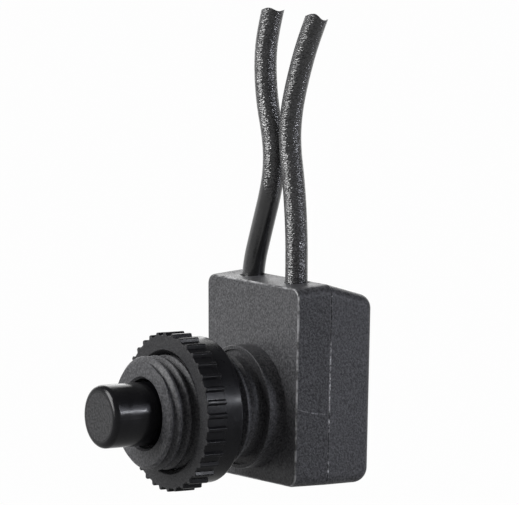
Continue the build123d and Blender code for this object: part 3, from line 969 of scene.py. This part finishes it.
for row in frame["record"]["subparts"]:
    dress(nodes[row["node"]], slotSkins[row["material_slot"]])
dress(frontPiece, bodySkin)
wearAndHighlightEdges(frontPiece, edgeWearAndHighlight)
dress(nutPiece, nutSkin)
dress(springPiece, metalSkins["drawn steel"])
for piece in leadPieces:
    dress(piece, leadSkin)
    piece.data.materials.append(metalSkins["bare copper"])
    piece.data.polygons[-1].material_index = 1       # the wire, down in the cut
print("finishes:", len(slotSkins))


# Floor, lamps and surroundings
studio = {
    "floorZ": -0.14, "floorRadius": 4.0, "floorSides": 96, "floorWhite": 0.985,
    "backdrop": directionTo(photoCamera["azimuth"] + 180, 0),      # the way that the white sheet hangs
    "greyUpTo": 0.09, "whiteFrom": 0.5, "greyTone": (0.4, 0.4, 0.4), "whiteTone": (1, 1, 1),
    "sheetInside": 30, "sheetOutside": 50,        # degrees off that way
    "roomLight": 0.4,
    "paper": (0.3, 0.3, 0.3, 1),
    "whiteUpTo": 12, "dimFrom": 28,               # degrees above the horizon
    "dimLight": 0.14,                             # level overhead
    "aim": Vector((0, 0, 0.006)),
}
lamps = {
    "key": {
        "azimuth": -21, "elevation": 26, "distance": 0.75, "size": (0.44, 0.66), "power": 9.4,
        "tint": (1, 1, 1)},
    "strip": {
        "azimuth": 117, "elevation": 24, "distance": 0.75, "size": (0.1, 0.34), "power": 1.1,
        "tint": (0.86, 0.88, 1)},
    "low strip": {
        "azimuth": 135, "elevation": -5, "distance": 0.75, "size": (0.045, 0.42), "power": 1.35,
        "tint": (0.86, 0.88, 1)},
    "glint": {
        "azimuth": 125, "elevation": 16, "distance": 0.7, "size": (0.05, 0.05), "power": 0.6,
        "tint": (0.92, 0.94, 1)},
    "wall": {
        "azimuth": 237, "elevation": 24, "distance": 0.9, "size": (1.0, 0.45), "power": 3.4,
        "tint": (1, 1, 1)},
}


def seenDirectly(tree):
    # 1 for what the camera, gloss or glass sees straight on, 0 for light on the object
    path = put(tree, "LightPath", {}).outputs
    both = arithmetic(tree, "MAXIMUM", path["Is Camera Ray"], path["Is Glossy Ray"])
    return arithmetic(tree, "MAXIMUM", both, path["Is Transmission Ray"])


def layFloor(look):
    bpy.ops.object.select_all(action="DESELECT")
    bpy.ops.mesh.primitive_circle_add(
        vertices=look["floorSides"], radius=look["floorRadius"], fill_type="NGON",
        location=(0, 0, look["floorZ"]))
    bpy.ops.object.transform_apply(location=True, rotation=True, scale=True)
    floor = bpy.context.object
    floor.name = "floor"
    finish = bpy.data.materials.new("white floor")
    finish.use_nodes = True
    tree = finish.node_tree
    tree.nodes.clear()
    # grey under and beside the object, white on the sheet behind it
    behind = put(tree, "VectorMath", {
        0: objectPlace(tree), 1: look["backdrop"]}, operation="DOT_PRODUCT")
    sheet = spread(tree, behind.outputs["Value"], look["greyUpTo"], look["whiteFrom"], 0, 1)
    tone = shades(tree, sheet, look["greyTone"], look["whiteTone"])
    paper = put(tree, "BsdfDiffuse", {"Color": look["paper"]})
    glow = put(tree, "Emission", {"Color": tone, "Strength": 1.0})
    share = arithmetic(tree, "MULTIPLY", seenDirectly(tree), look["floorWhite"])
    both = put(tree, "MixShader", {"Fac": share, 1: paper.outputs["BSDF"], 2: glow.outputs["Emission"]})
    output = put(tree, "OutputMaterial", {"Surface": both.outputs["Shader"]})
    output.is_active_output = True
    floor.data.materials.append(finish)


def hangLamp(name, look):
    bpy.ops.object.select_all(action="DESELECT")
    away = directionTo(look["azimuth"], look["elevation"])
    bpy.ops.object.light_add(type="AREA", location=studio["aim"] + away * look["distance"])
    lamp = bpy.context.object
    lamp.name = name + " lamp"
    lamp.rotation_euler = away.to_track_quat("Z", "Y").to_euler()
    lamp.data.shape = "RECTANGLE"
    lamp.data.size, lamp.data.size_y = look["size"]
    lamp.data.energy = look["power"]
    lamp.data.color = look["tint"]
    lamp.visible_camera = False


def surround(look):
    world = bpy.data.worlds.new("studio")
    scene.world = world
    world.use_nodes = True
    tree = world.node_tree
    tree.nodes.clear()
    # a white sheet behind the object, grey walls, darker overhead
    way = put(tree, "TexCoord", {}).outputs["Generated"]
    towards = put(tree, "VectorMath", {0: way, 1: look["backdrop"]}, operation="DOT_PRODUCT")
    walls = spread(
        tree, towards.outputs["Value"], math.cos(math.radians(look["sheetOutside"])),
        math.cos(math.radians(look["sheetInside"])), look["roomLight"], 1)
    level = spread(
        tree, axes(tree, way)[2], math.sin(math.radians(look["whiteUpTo"])),
        math.sin(math.radians(look["dimFrom"])), walls, look["dimLight"])
    sky = put(tree, "Background", {"Color": (1, 1, 1, 1), "Strength": level})
    put(tree, "OutputWorld", {"Surface": sky.outputs["Background"]})


layFloor(studio)
for name, look in lamps.items():
    hangLamp(name, look)
surround(studio)
print("studio:", len(lamps), "lamps")
